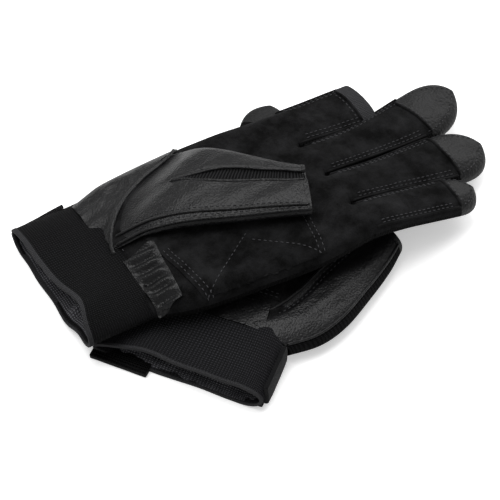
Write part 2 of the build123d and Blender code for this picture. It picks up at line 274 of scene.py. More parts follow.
# making pieces
def finishPiece(bm, name, kind, thickness=0.0, smoothing=0, outward=None):
    bmesh.ops.remove_doubles(bm, verts=bm.verts, dist=0.00002)
    bmesh.ops.dissolve_degenerate(bm, edges=bm.edges, dist=0.00001)
    if outward is None:
        bmesh.ops.recalc_face_normals(bm, faces=bm.faces)
    elif sum(face.normal.dot(outward) * face.calc_area() for face in bm.faces) < 0:
        bmesh.ops.reverse_faces(bm, faces=bm.faces)
    mesh = bpy.data.meshes.new(name)
    bm.to_mesh(mesh)
    bm.free()
    mesh.shade_smooth()
    mesh.materials.append(finish[kind])
    piece = bpy.data.objects.new(name, mesh)
    scene.collection.objects.link(piece)
    if thickness:
        solid = piece.modifiers.new("thickness", "SOLIDIFY")
        solid.thickness = thickness / 1000
        solid.offset = -1
        solid.use_even_offset = False
        solid.edge_crease_outer = solid.edge_crease_inner = 0.7
    if smoothing:
        smooth = piece.modifiers.new("smoothing", "SUBSURF")
        smooth.levels = smooth.render_levels = smoothing
        smooth.boundary_smooth = "PRESERVE_CORNERS"
    if thickness:
        piece.modifiers.new("crispRims", "EDGE_SPLIT").split_angle = radians(50)
    return piece


# a sheet of rows by columns, where place turns two shares into a point
def gridInto(bm, rows, columns, place, size=(100, 40)):
    grid = bmesh.ops.create_grid(bm, x_segments=rows, y_segments=columns, size=0.5)["verts"]
    uvLayer = bm.loops.layers.uv.verify()
    shares = {vert: (vert.co.x + 0.5, vert.co.y + 0.5) for vert in grid}
    for face in {face for vert in grid for face in vert.link_faces}:
        for loop in face.loops:
            a, b = shares[loop.vert]
            loop[uvLayer].uv = (a * size[0] / 1000, b * size[1] / 1000)
    for vert, (a, b) in shares.items():
        vert.co = place(a, b)
    bm.normal_update()


def sheetPiece(name, kind, rows, columns, place, size=(100, 40), thickness=1.1, outward=skyward,
               smoothing=1):
    bm = bmesh.new()
    gridInto(bm, rows, columns, place, size)
    return finishPiece(bm, name, kind, thickness, smoothing, outward)


def cordPiece(name, kind, paths, radius, sides=6):  # round welts or piping along lists of points
    bm = bmesh.new()
    for path in paths:
        last = len(path) - 1

        def place(a, b, path=path, last=last):
            i = round(a * last)
            along = (path[min(i + 1, last)] - path[max(i - 1, 0)]).normalized()
            side = along.cross(skyward).normalized()
            size = 0 if i in (0, last) else radius / 1000
            return path[i] + (side * cos(2 * pi * b) + side.cross(along) * sin(2 * pi * b)) * size
        gridInto(bm, last, sides, place, (last * 1.2, radius * 6))
    return finishPiece(bm, name, kind)


def alongPath(place, start, end, step=1.2):  # points every step millimetres
    rough = [place(mix(start, end, i / 60)) for i in range(61)]
    length = sum((b - a).length for a, b in zip(rough, rough[1:])) * 1000
    count = max(2, round(length / step))
    return [place(mix(start, end, i / count)) for i in range(count + 1)]


stitch = {"pitch": 2.9, "length": 2.0, "width": 0.5, "sink": 0.05}


def stitchPiece(name, rows):  # a small pillow of thread for each stitch
    bm = bmesh.new()
    for path in rows:
        lengths = [0]
        for a, b in zip(path, path[1:]):
            lengths.append(lengths[-1] + (b - a).length * 1000)
        count = int(lengths[-1] / stitch["pitch"])
        for n in range(count):
            goal = (n + 0.5) * stitch["pitch"]
            i = max(k for k in range(len(path) - 1) if lengths[k] <= goal)
            share = (goal - lengths[i]) / max(1e-6, lengths[i + 1] - lengths[i])
            centre = path[i].lerp(path[i + 1], share)
            along = (path[i + 1] - path[i]).normalized()
            side = along.cross(skyward).normalized()
            up = side.cross(along)
            made = bmesh.ops.create_icosphere(bm, subdivisions=1, radius=0.5)["verts"]
            for vert in made:
                x, y, z = vert.co
                vert.co = (centre + (along * x * stitch["length"] + side * y * stitch["width"]
                                     + up * (z * stitch["width"] - stitch["sink"])) / 1000)
    return finishPiece(bm, name, "thread")


# the upper glove's form
hand = {"start": 34, "knuckle": 150, "thick": 17.5, "roll": 13, "webs": (-44.5, -20.0, 5.0), "half": 14}
littleEdge = curveOf([(30, -46.5), (38, -48.5), (53, -56), (90, -63), (123, -67.5), (150, -66)])
thumbEdge = curveOf([(30, 44.5), (38, 46), (60, 48.5), (88, 47), (110, 42), (133, 37), (150, 34.5)])
underlay = {"from": (3, -39), "to": (133, 40)}  # the lower glove's far edge, which the upper one falls off


def upperBase(x, y):  # the underside, up over the lower glove and down along the fingers
    bend = 6 * log(1 + exp(min(30, (x - hand["knuckle"]) / 6)))
    drop = 0.25 - 0.0022 * (y + 8)
    height = 5.4 + 0.09 * x - 0.07 * y - drop * bend + 2.4 * ease(x, 145, 175)
    dx, dy = underlay["to"][0] - underlay["from"][0], underlay["to"][1] - underlay["from"][1]
    beyond = (dx * (y - underlay["from"][1]) - dy * (x - underlay["from"][0])) / hypot(dx, dy)
    fall = 0.8 * ease(beyond, 0, 50) * ease(x, 170, 130)
    return max(0.4, height * (1 - fall))


def upperThick(x):
    return mix(hand["thick"], 13.5, ease(x, 145, 176)) * mix(0.72, 1, ease(x, 32, 52))


def handEdgeDistance(x, y):
    nearest = min(y - littleEdge(x), thumbEdge(x) - y)
    for web in hand["webs"]:
        nearest = min(nearest, hypot(max(0, hand["knuckle"] - x), y - web))
    return max(0, nearest)


def creases(x, y, seed):  # soft sag of an empty glove
    heel = ease(x, 62, 36)
    return (1.5 * ripple(x, y, 30, 21, seed) + 0.7 * ripple(x, y, 12, 9, seed + 1)
            + 0.28 * ripple(x, y, 5, 4, seed + 2) + 0.9 * heel * ripple(x, y, 22, 5, seed + 3))


def sideOf(turn):  # 1 on the palm side of a tube, -1 on its back
    return 1 if sin(turn) >= -1e-9 else -1


def palmPoint(x, y, side=1, lift=0.0):
    distance = handEdgeDistance(x, y)
    thick = upperThick(x)
    swell = roundOff(distance / hand["roll"])
    z = upperBase(x, y) + thick / 2 + side * thick / 2 * swell + lift
    z += creases(x, y, 3 if side > 0 else 9) * ease(distance, 0, 10) * (1 if side > 0 else 0.5)
    return world(x, y, max(0.3, z))


def columnShares():  # the palm's columns at the knuckles, crowded at each finger's edges
    edges = [littleEdge(hand["knuckle"]), *hand["webs"], thumbEdge(hand["knuckle"])]
    places = []
    for low, high in zip(edges, edges[1:]):
        for k in range(hand["half"]):
            places.append(mix(low, high, 0.5 - 0.5 * cos(pi * k / hand["half"])))
    places.append(edges[-1])
    return [(p - edges[0]) / (edges[-1] - edges[0]) for p in places]


shares = columnShares()
columnCount = len(shares) - 1


def palmGrid(side, firstColumn, lastColumn):
    def place(a, b):
        x = mix(hand["start"], hand["knuckle"], a)
        column = shares[firstColumn + round(b * (lastColumn - firstColumn))]
        return palmPoint(x, mix(littleEdge(x), thumbEdge(x), column), side)
    return place


sideColumns = 2
sheetPiece("upperPalmPanel", "suede", 76, columnCount, palmGrid(1, 0, columnCount), (116, 108))
sheetPiece("upperBackPanel", "back", 60, columnCount - 2 * sideColumns,
           palmGrid(-1, sideColumns, columnCount - sideColumns), (116, 104), outward=floorward)
bm = bmesh.new()
for first in (0, columnCount - sideColumns):
    gridInto(bm, 76, sideColumns, palmGrid(-1, first, first + sideColumns), (116, 5))
finishPiece(bm, "upperSideStrips", "knit", 1.1, 1)
print("upper hand ready")


# the upper glove's fingers: base holds each one's edges at the knuckle, half its half widths further along,
# drift its lean, cap the length of its leather tip, round the length rounded off, slant the tip seam's slope
fingers = {
    "Index": {"base": (5.0, 34.5), "drift": 0.6, "half": (15.0, 15.4), "length": 51,
              "cap": 0, "round": 0, "slant": 0},
    "Middle": {"base": (-20.0, 5.0), "drift": 14.5, "half": (12.5, 16.2), "length": 100.5,
               "cap": 33, "round": 25, "slant": 5},
    "Ring": {"base": (-44.5, -20.0), "drift": 1.5, "half": (12.5, 16.0), "length": 93,
             "cap": 26, "round": 23, "slant": 1},
    "Little": {"base": (-66.0, -44.5), "drift": -1.0, "half": (10.9, 11.2), "length": 69,
               "cap": 15, "round": 15, "slant": 0},
}
seamTurn = sideColumns * pi / hand["half"]


def fingerHalf(finger, s):
    base = (finger["base"][1] - finger["base"][0]) / 2
    half = mix(base, finger["half"][0], ease(s, 0, 25))
    half = mix(half, finger["half"][1], ease(s, finger["length"] * 0.2, finger["length"] * 0.74))
    if finger["round"]:
        share = max(0, (s - finger["length"] + finger["round"]) / finger["round"])
        half *= sqrt(max(0, 1 - min(1, share) ** 2.3))
    return half


def fingerPoint(finger, s, e, side=1, lift=0.0):  # s from the knuckle, e from -1 to 1 across
    half = fingerHalf(finger, s)
    centre = sum(finger["base"]) / 2 + finger["drift"] * max(0, s / finger["length"]) ** 1.7
    x, y = hand["knuckle"] + s, centre + e * half
    distance = half * (1 - abs(e))
    roll = mix(hand["roll"], max(finger["half"]) * 0.95, ease(s, 0, 20))
    thick = upperThick(x)
    seed = finger["length"]
    z = upperBase(x, y) + thick / 2 + side * (thick / 2 * roundOff(distance / roll) + lift)
    pucker = (0.9 * ripple(s, y, 16, 12, seed) + 0.5 * ripple(s, y, 7, 8, seed + 1)
              + 0.2 * ripple(s, y, 3, 4, seed))
    carry = ease(s, 14, 0) * creases(x, y, 3 if side > 0 else 9) * (1 if side > 0 else 0.5)
    z += (pucker * ease(s, 0, 14) + carry) * ease(distance, 0, 10)
    return world(x, y, max(0.3, z))


# a stretch of a finger's sleeve: `turn` goes round it from its far edge over the palm side
def sleeve(finger, start, end, turnStart, turnEnd, crowd=False):
    def place(a, b):
        turn = mix(turnStart, turnEnd, b)
        s = mix(start, end(cos(turn)), sin(a * pi / 2) if crowd else a)
        return fingerPoint(finger, s, cos(turn), sideOf(turn))
    return place


def makeFinger(name, finger):
    length, cap = finger["length"], finger["cap"]
    rows = round(length / 1.6)
    made = {}

    def end(e):
        return length - cap - finger["slant"] * e if cap else length - 2 - 2 * max(0, e)

    def whole(e):
        return length if cap else end(e)

    # the outer fingers' suede wraps over the glove's edges, as the palm's does
    farTurn = 0 if name == "Index" else seamTurn
    nearTurn = 0 if name == "Little" else seamTurn
    front = sleeve(finger, 0, end, farTurn, pi - nearTurn)
    made["Front"] = sheetPiece(f"upper{name}Front", "suede", rows, 20, front, (length, 26))
    back = sleeve(finger, 0, whole, pi + seamTurn, 2 * pi - seamTurn, bool(cap))
    made["Back"] = sheetPiece(f"upper{name}Back", "back", rows, 18, back, (length, 26), outward=floorward)
    bm = bmesh.new()
    gridInto(bm, rows, 4, sleeve(finger, 0, end, -seamTurn, farTurn), (length, 9))
    gridInto(bm, rows, 4, sleeve(finger, 0, end, pi - nearTurn, pi + seamTurn), (length, 9))
    made["Sidewalls"] = finishPiece(bm, f"upper{name}Sidewalls", "knit", 1.1, 1)
    if cap:
        def tip(a, b):
            turn = mix(-seamTurn, pi + seamTurn, b)
            s = mix(end(cos(turn)) - 0.4, length, sin(a * pi / 2))
            return fingerPoint(finger, s, cos(turn), sideOf(turn))
        made["Tip"] = sheetPiece(f"upper{name}Tip", "tipLeather", 24, 30, tip, (cap, 30), 1.3)
        edge = [fingerPoint(finger, end(e / 12), e / 12, 1, 0.15) for e in range(-11, 12)]
        reach = length - cap
    else:
        def hem(a, b):
            turn = 2 * pi * b
            s = end(cos(turn)) - 8 + 8.6 * a
            skin = fingerPoint(finger, s, cos(turn), 1 if sin(turn) >= 0 else -1)
            return skin + (skin - fingerPoint(finger, s, 0, 0)).normalized() * 0.0008
        made["Hem"] = sheetPiece(f"upper{name}Hem", "tape", 8, 48, hem, (9, 80), 2.0, outward=None)
        edge = [fingerPoint(finger, end(e / 12) - 8.5, e / 12, 1, 0.3) for e in range(-10, 11)]
        reach = length - 9
    ridges = [alongPath(lambda t, e=e: fingerPoint(finger, t, e, 1, 0.25), 1, reach) for e in (-0.9, 0.9)]
    made["Ridges"] = cordPiece(f"upper{name}Ridges", "suede", ridges + [edge], 0.8)
    rows = [alongPath(lambda t, e=e: fingerPoint(finger, t, e, 1, 0.25), 5, reach - 2)
            for e in (-0.82, -0.70, 0.70, 0.82)]
    if cap:
        rim = []
        for k in range(49):
            turn = pi * k / 48
            s = reach + 1 + (cap - 3.2) * sin(turn) ** 0.9
            rim.append(fingerPoint(finger, s, 0.84 * cos(turn), 1, 0.3))
        rows.append(rim)
    rows.append([point + Vector((0.0018 if cap else -0.002, 0, 0)) for point in edge[2:-2]])
    made["Stitches"] = stitchPiece(f"upper{name}Stitches", rows)
    return made


fingerPieces = {name: makeFinger(name, finger) for name, finger in fingers.items()}
print("upper fingers ready")


# overlays on the upper palm
patch = {"left": (52, 57.5), "right": (131.5, 123.5), "lift": 0.9}


def patchEdge(side, y):  # the patch's two ends slant across the palm
    start, end = patch[side]
    return mix(start, end, (y + 20) / -40)


def patchPoint(a, b):
    y = mix(-69, 30, b)
    x = mix(patchEdge("left", y), patchEdge("right", y), a)
    return palmPoint(x, max(y, littleEdge(x) + 1.2), 1, patch["lift"])


def overPalm(points, lift):
    line = lineOf([(x, y, 0) for x, y in points])
    return alongPath(lambda t: palmPoint(line(t).x, line(t).y, 1, lift), 0, 1)


palmPatch = sheetPiece("upperPalmPatch", "suede", 52, 60, patchPoint, (78, 95), 1.0)
patchSeams = []
for inset in (2.0, 4.6):
    patchSeams.append(overPalm([(patchEdge("left", y) + inset, y) for y in (-20, -32, -44, -58)], 1.1))
    patchSeams.append(overPalm([(patchEdge("right", y) - inset, y) for y in (-30, -42, -54, -66)], 1.1))
patchSeams.append(overPalm([(59, -57), (76, -46), (96, -33)], 1.1))
patchSeams.append(overPalm([(119, -66), (108, -54), (92, -38)], 1.1))
patchStitches = stitchPiece("upperPatchStitches", patchSeams)


def heelPoint(a, b):  # a leather tab with deep folds where the cuff gathers it
    y = mix(-50, -12, b)
    x = mix(35.5, mix(48.5, 53, b), a)
    fold = 1.1 * sin(2 * pi * (y + 0.25 * x) / 6.8 + 1.2 * ripple(x, y, 9, 9, 4))
    fold *= ease(a, 0, 0.2) * ease(a, 1.0, 0.7)
    return palmPoint(x, y, 1, 1.7 + fold)


heelTab = sheetPiece("upperHeelTab", "leather", 22, 60, heelPoint, (17, 38), 1.0)
# how far along the curved seam lies, at shares from the glove's middle to its thumb side
gussetEdge = curveOf([(0, 34.2), (0.16, 35.3), (0.3, 38.6), (0.42, 43.6), (0.61, 56.8), (0.72, 71),
                      (0.81, 87.8), (1, 98)])


def gussetPoint(a, b, lift=1.2):  # the leather between the cuff and the thumb's curved seam
    x = mix(33.5, gussetEdge(b), a)
    y = mix(-10, thumbEdge(x) - 0.3, b)
    fold = 0.9 * ripple(x * 0.7 + y * 0.5, y - x, 30, 7, 12) * ease(b, 1, 0.8) * ease(a, 0, 0.3)
    return palmPoint(x, y, 1, lift + max(fold, -0.1))


gusset = sheetPiece("upperGusset", "leather", 34, 40, gussetPoint, (40, 58), 1.0)
cuffSeam = alongPath(lambda t: palmPoint(39.5, t, 1, 1.0), -6, 42)
curvedWelt = cordPiece("upperCurvedWelt", "leather",
                       [alongPath(lambda t: gussetPoint(1, t, 1.9), 0.1, 0.9)], 1.3, 8)
curvedSeam = alongPath(lambda t: gussetPoint(0.93, t, 1.0), 0.14, 0.78)
gussetStitches = stitchPiece("upperGussetStitches", [curvedSeam, cuffSeam])
print("palm overlays ready")

# the upper thumb, folded across the palm; near and far are its two long edges
thumb = {"near": [(35.3, -1.5), (45.2, -6.5), (63.7, -15.6), (90.3, -30.2), (112.9, -42.0), (123.6, -48.2)],
         "far": [(87.8, 39.0), (97.1, 33.0), (106.8, 21.4), (117.9, 6.3), (128.8, -8.6), (137.2, -18.0)],
         "seam": [(35.3, -0.4), (38.6, 6.9), (43.6, 13.4), (56.8, 25.6), (71.1, 32.3), (87.8, 38.2)],
         "height": 10.2, "slit": 0.26, "hem": 0.965}
nearLine, farLine, seamLine = (lineOf([(*p, 0) for p in thumb[key]]) for key in ("near", "far", "seam"))


def slitMiddle(a):  # the expansion slit runs slightly askew along the thumb
    return 0.46 + 0.24 * a


# a runs from the curved seam to the cut end, and b from the near to the far edge
def thumbPoint(a, b, side=1, lift=0.0):
    endNear, endFar = nearLine(1), farLine(1)
    flat = (nearLine(a) * (1 - b) + farLine(a) * b + seamLine(b) * (1 - a) + endNear.lerp(endFar, b) * a
            - (nearLine(0) * (1 - b) * (1 - a) + farLine(0) * b * (1 - a)
               + endNear * (1 - b) * a + endFar * b * a))
    x, y = flat.x, flat.y
    height = mix(0.8, thumb["height"], ease(a, 0, 0.36))
    swell = roundOff(min(b, 1 - b) / 0.36, 2.1)
    top = upperBase(x, min(y, 34)) + upperThick(x) + 0.7 + 1.3 * ease(a, 0.25, 0.5)
    z = top + height / 2 + side * (height / 2 * swell + lift)
    sag = (0.9 * ripple(a * 90 + y * 0.4, y, 30, 9, 20) + 0.3 * ripple(x, y, 10, 8, 21)
           + 0.12 * ripple(x, y, 4, 3, 22))
    z += sag * ease(min(b, 1 - b), 0, 0.25) * ease(a, 0, 0.2)
    if side > 0:
        width = 0.07 * ease(a, thumb["slit"], 0.55)
        z -= 2.4 * ease(abs(b - slitMiddle(a)), width + 0.045, width) * ease(a, thumb["slit"] - 0.04, 0.42)
    return world(x, y, z)


thumbOuter = sheetPiece("upperThumbOuter", "leather", 64, 46,
                        lambda a, b: thumbPoint(a, mix(0.05, 0.97, b)), (92, 44))
thumbInner = sheetPiece("upperThumbInner", "suede", 48, 30,
                        lambda a, b: thumbPoint(a, mix(0.04, 0.96, b), -1), (92, 44), outward=floorward)
bm = bmesh.new()
for low, high in ((0, 0.05), (1, 0.97)):
    def wall(a, b, low=low, high=high):
        inward = abs(2 * b - 1)
        return thumbPoint(a, mix(low, high, inward ** 1.4), 1 if b >= 0.5 else -1)
    gridInto(bm, 60, 8, wall, (92, 9))
thumbWalls = finishPiece(bm, "upperThumbSidewalls", "leather", 1.0, 1)


def slitPoint(a, b):  # the ribbed expansion panel at the bottom of the slit
    along = mix(thumb["slit"] + 0.02, 0.985, a)
    width = 0.085 * ease(along, thumb["slit"] - 0.06, 0.55)
    return thumbPoint(along, slitMiddle(along) + mix(-width, width, b), 1, 0.75)


thumbInsert = sheetPiece("upperThumbKnitInsert", "knitFine", 60, 10, slitPoint, (62, 5), 0.6)
slitLips = []
for sign in (-1, 1):
    def lip(t, sign=sign):
        width = 0.004 + 0.095 * ease(t, thumb["slit"] - 0.02, 0.55)
        return thumbPoint(t, slitMiddle(t) + sign * width, 1, 0.15)
    slitLips.append(alongPath(lip, thumb["slit"] - 0.01, 0.985))
nearWelts = [alongPath(lambda t, b=b, lift=lift: thumbPoint(t, b, 1, lift), 0.03, 0.99)
             for b, lift in ((0.035, 0.5), (0.11, 0.35))]
thumbPiping = cordPiece("upperThumbPiping", "leather", slitLips + nearWelts, 0.85, 8)


def thumbRing(a, turn, lift=0.0):
    return thumbPoint(a, 0.5 - 0.5 * cos(turn), 1 if sin(turn) >= 0 else -1, lift)


def thumbHemPoint(a, b):
    return thumbRing(mix(thumb["hem"], 1.004, a), 2 * pi * b, 0.45)


thumbHem = sheetPiece("upperThumbHem", "leather", 4, 64, thumbHemPoint, (4, 80), 1.9, outward=None)
thumbStitches = stitchPiece("upperThumbStitches", [
    alongPath(lambda t, b=b: thumbPoint(t, b, 1, 0.3), 0.12, 0.97) for b in (0.155, 0.075)])
print("upper thumb ready")

# the upper cuff, an open tube of wide elastic
upperCuff = {"length": 38.5, "half": (45.2, 47.4), "height": (19.0, 14.2)}


def upperCuffPoint(x, turn, lift=0.0):
    share = x / upperCuff["length"]
    half = mix(*upperCuff["half"], share)
    y = half * cos(turn)
    side = 1 if sin(turn) >= 0 else -1
    height = mix(*upperCuff["height"], ease(share))
    openness = roundOff((half - abs(y)) / 20, 2.0)
    sway = 1.3 * ripple(y, 3, 26, 9, 31 + side) * ease(share, 0.9, 0) + 0.7 * ripple(x, y, 18, 22, 35 + side)
    z = upperBase(x, y) + height / 2 + side * (height / 2 * openness + lift) + sway * openness
    if side < 0:
        z += ease(share, 0.6, 0) * openness * (2.2 * ripple(y, 0, 13, 9, 38) - 2.5 * ease(y, -25, 10))
    if side > 0:
        x += 4.5 * exp(-((y + 20) / 13) ** 2) * ease(share, 0.7, 0)  # the upper lip is drawn back here
    x += 1.6 * ripple(y, side, 17, 9, 39) * ease(share, 0.6, 0)
    return world(x, y * (1 + lift / 60), max(0.4, z))


upperCuffBand = sheetPiece("upperCuffBand", "elastic", 26, 110,
                           lambda a, b: upperCuffPoint(mix(1.0, upperCuff["length"], a), 2 * pi * b),
                           (38, 190), 1.6, outward=None)
upperCuffHem = sheetPiece("upperCuffHem", "tape", 4, 110,
                          lambda a, b: upperCuffPoint(mix(0, 2.4, a), 2 * pi * b, 0.25),
                          (3, 190), 1.7, outward=None)


# a loose inner fold seen in the mouth, standing off the lower lip
def upperLiningPoint(a, b):
    turn = mix(pi * 1.08, pi * 1.92, b)
    x = mix(2.2, 24, a)
    low, high = upperCuffPoint(x, turn), upperCuffPoint(x, 2 * pi - turn)
    rise = 0.3 + 0.34 * ripple(b * 90, a * 4, 8, 4, 41) + 0.16 * ripple(b * 90, a * 9, 3, 3, 42)
    return low.lerp(high, min(0.8, max(0.12, rise * ease(a, -0.3, 0.5))))


upperLining = sheetPiece("upperCuffLining", "lining", 14, 90, upperLiningPoint, (22, 90), 0.8)


# a flat piece lying against the underside of a cuff
def underStrap(point, xs, turns, drop):
    def place(a, b):
        spot = point(mix(*xs, a), mix(*turns, b))
        return Vector((spot.x, spot.y, max(0.0006, spot.z - drop / 1000)))
    return place


upperStrap = sheetPiece("upperWristStrap", "strap", 18, 40,
                        underStrap(upperCuffPoint, (3.6, 32.4), (pi * 1.55, pi * 1.99), 1.9),
                        (29, 50), 1.4, outward=floorward)
upperHook = sheetPiece("upperHookPatch", "hook", 18, 30,
                       underStrap(upperCuffPoint, (3.6, 32.4), (pi * 1.14, pi * 1.5), 1.7),
                       (29, 34), 1.2, outward=floorward)


upperTab = {"rise": 6.5, "length": 25.2}  # the strap's end lies flat up the cuff's far edge


def upperTabPoint(a, b):
    x = 5.4 + upperTab["length"] * b
    bow = 1.3 * sin(pi * a * 0.9) + 0.4 * ripple(x, a * 9, 12, 9, 51)
    return world(x, 46.6 + 0.045 * x + bow, 0.9 + mix(1.8, 4.2, b) + upperTab["rise"] * a)


upperTabPiece = sheetPiece("upperStrapTab", "strap", 12, 20, upperTabPoint, (8, 26), 2.0,
                           outward=Vector((0, 1, 0)))
print("upper cuff ready")

# the lower glove lies turned to the thumb side: each station is its middle, its heading and its half widths
stations = [((31, -74), 36, 45.5, 45.5), ((62.2, -51.3), 36, 47, 43), ((90, -33), 31, 50, 35),
            ((120, -17), 25, 50, 37), ((148, -5), 19, 47, 38)]
lowerMiddle = lineOf([(*s[0], 0) for s in stations])
lowerTurn, lowerLeft, lowerRight = ([s[k] for s in stations] for k in (1, 2, 3))
stationShare = [0]
for before, after in zip(stations, stations[1:]):
    stationShare.append(stationShare[-1] + hypot(after[0][0] - before[0][0], after[0][1] - before[0][1]))
lowerLength = stationShare[-1]
lowerStart = 36  # where the hand's panels come out from under the cuff
lastStation = len(stations) - 1


def stationPlace(p):
    i = 0
    while i < lastStation - 1 and p > stationShare[i + 1]:
        i += 1
    return i + (p - stationShare[i]) / (stationShare[i + 1] - stationShare[i])


def lowerAt(p, q):  # p millimetres from the cuff's mouth, q from -1 on the thumb side to 1
    place = min(lastStation, max(0, stationPlace(p)))
    middle = lowerMiddle(min(1, max(0, p / lowerLength)))
    angle = radians(smoothThrough(lowerTurn, place))
    half = smoothThrough(lowerLeft if q > 0 else lowerRight, place)
    along = min(0, p) + max(0, p - lowerLength)
    return (middle.x + along * cos(angle) - q * half * sin(angle),
            middle.y + along * sin(angle) + q * half * cos(angle), half * (1 - abs(q)))


def lowerTop(x, y):
    return 5.4 + 0.055 * x - 0.06 * y


def lowerPoint(p, q, side=1, lift=0.0):
    x, y, distance = lowerAt(p, q)
    bottom = 0.6
    top = lowerTop(x, y)
    t = (top - bottom) / 2
    z = bottom + t + side * (t * roundOff(distance / mix(7, 14, ease(-q, -0.2, 1)), 2.2) + lift)
    if side > 0:
        sag = 1.2 * ripple(x, y, 24, 17, 61) + 0.5 * ripple(x, y, 9, 7, 62)
        z += (sag - 1.0 * ease(p, 45, 60)) * ease(distance, 0, 9)
    return world(x, y, max(0.4, z))


def lowerSheet(name, kind, side, q0, q1, rows=60, columns=56, lift=0.0, p0=lowerStart, p1=lowerLength,
               thickness=1.1):
    return sheetPiece(name, kind, rows, columns,
                      lambda a, b: lowerPoint(mix(p0, p1, a), mix(q0, q1, b), side, lift),
                      (p1 - p0, 90), thickness, outward=Vector((0, 0, side)))


lowerPalm = lowerSheet("lowerPalmPanel", "suede", 1, -0.96, 0.96)
lowerBack = lowerSheet("lowerBackPanel", "back", -1, -0.96, 0.96)
bm = bmesh.new()
for sign in (-1, 1):
    def wall(a, b, sign=sign):
        inward = 1 - abs(2 * b - 1)
        return lowerPoint(mix(lowerStart, lowerLength, a), sign * mix(0.96, 1, inward), 1 if b >= 0.5 else -1)
    gridInto(bm, 56, 6, wall, (100, 8))
lowerStrips = finishPiece(bm, "lowerSideStrips", "knit", 1.0, 1)
lowerPatch = lowerSheet("lowerPalmPatch", "suede", 1, -0.80, 0.55, 40, 40, 0.8, 56, 128)
lowerHeel = lowerSheet("lowerHeelTab", "leather", 1, -0.7, 0.62, 14, 50, 0.9, 35, 52)
patchRim = [alongPath(lambda t, inset=inset: lowerPoint(56 + inset, t, 1, 1.0), -0.78, 0.2)
            for inset in (2, 4.6)]
lowerPatchStitches = stitchPiece("lowerPatchStitches", patchRim)
print("lower hand ready")

# the lower fingers: root, direction, length, half width and how long the leather tip is
lowerFingers = {"Index": ((157.0, -30.9), -2, 42, 10.0, 0), "Middle": ((150.0, -10.9), 3, 70, 10.2, 24),
                "Ring": ((142.8, 10.1), 13, 66, 10.4, 22), "Little": ((136.0, 29.8), 46, 41, 13.2, 16)}


def makeLowerFinger(name, root, direction, length, half, cap):
    angle = radians(direction)

    def point(s, e, side, lift=0.0):
        share = max(0, (s - length + half * 1.3) / (half * 1.3)) if cap else 0
        width = half * sqrt(max(0, 1 - min(1, share) ** 2.3)) * mix(1.12, 1, ease(s, 0, 20))
        x = root[0] + s * cos(angle) - e * width * sin(angle)
        y = root[1] + s * sin(angle) + e * width * cos(angle)
        top = mix(lowerTop(x, y) - 1.5, 8.2, ease(s, -16, 14)) + 0.4 * ripple(x, y, 9, 9, 66)
        z = 1.2 + (top - 1.2) / 2
        swell = roundOff(width * (1 - abs(e)) / 8.5, 2.2)
        return world(x, y, max(0.5, z + side * ((top - 1.2) / 2 * swell + lift)))

    def part(title, kind, start, end, turn0, turn1, outward, columns=20):
        def place(a, b):
            turn = mix(turn0, turn1, b)
            return point(mix(start, end, sin(a * pi / 2)), cos(turn), sideOf(turn))
        return sheetPiece(f"lower{name}{title}", kind, 26, columns, place, (end - start, 26), 1.0, outward)
    made = {"Front": part("Front", "suede", -12, length - cap, seamTurn, pi - seamTurn, skyward),
            "Back": part("Back", "back", -12, length, pi + seamTurn, 2 * pi - seamTurn, floorward)}
    bm = bmesh.new()
    for middle in (0, pi):
        def wall(a, b, middle=middle):
            turn = mix(middle - seamTurn, middle + seamTurn, b)
            return point(mix(-12, length - cap, a), cos(turn), sideOf(turn))
        gridInto(bm, 24, 4, wall, (length, 6))
    made["Sidewalls"] = finishPiece(bm, f"lower{name}Sidewalls", "knit", 0.9, 1)
    if cap:
        made["Tip"] = part("Tip", "tipLeather", length - cap, length, -seamTurn, pi + seamTurn,
                           skyward, 24)
    else:
        made["Hem"] = part("Hem", "tape", length - 6, length + 0.6, 0, 2 * pi, None, 36)
    return made


lowerFingerPieces = {name: makeLowerFinger(name, *facts) for name, facts in lowerFingers.items()}
print("lower fingers ready")

# the lower thumb, out to the side: outer is its ribbed edge, inner its edge against the palm
lowerThumb = {"outer": [(84.5, -92.5), (101, -95.5), (118, -92.5), (138, -83.5), (156, -74.0), (169, -65.0)],
              "inner": [(70, -58), (87, -61), (104, -58), (122, -52), (145, -46.5), (163.5, -44.5)]}
outerLine, innerLine = (lineOf([(*p, 0) for p in lowerThumb[key]]) for key in ("outer", "inner"))


# a runs from the cuff to the cut end, and b from the outer to the inner edge
def lowerThumbPoint(a, b, side=1, lift=0.0):
    flat = outerLine(a).lerp(innerLine(a), b)
    x, y = flat.x, flat.y
    top = mix(14.0, 14.8, ease(a, 0.2, 0.6)) + 0.9 * sin(pi * min(1, a * 1.4))
    bottom = 0.6
    t = (top - bottom) / 2
    fold = 1.5 * ripple(a * 60, b * 26 + a * 14, 42, 6, 71) + 0.4 * ripple(x, y, 8, 6, 72)
    z = bottom + t + side * (t * roundOff(min(b, (1 - b) * 1.15) / 0.42, 2.1) + lift)
    if side > 0:
        channel = 1.6 * ease(abs(b - 0.7), 0.10, 0.0) * ease(a, 0.85, 0.5)
        z += fold * ease(min(b, 1 - b), 0.04, 0.3) - channel
    return world(x, y, max(0.4, z))


def lowerThumbRing(a, turn, lift=0.0):
    return lowerThumbPoint(a, 0.5 - 0.5 * cos(turn), sideOf(turn), lift)


def thumbPart(name, kind, a0, a1, turn0, turn1, outward, rows=56, columns=34, thickness=1.1, lift=0.0):
    return sheetPiece(name, kind, rows, columns,
                      lambda a, b: lowerThumbRing(mix(a0, a1, a), mix(turn0, turn1, b), lift),
                      ((a1 - a0) * 100, (turn1 - turn0) * 14), thickness, outward)


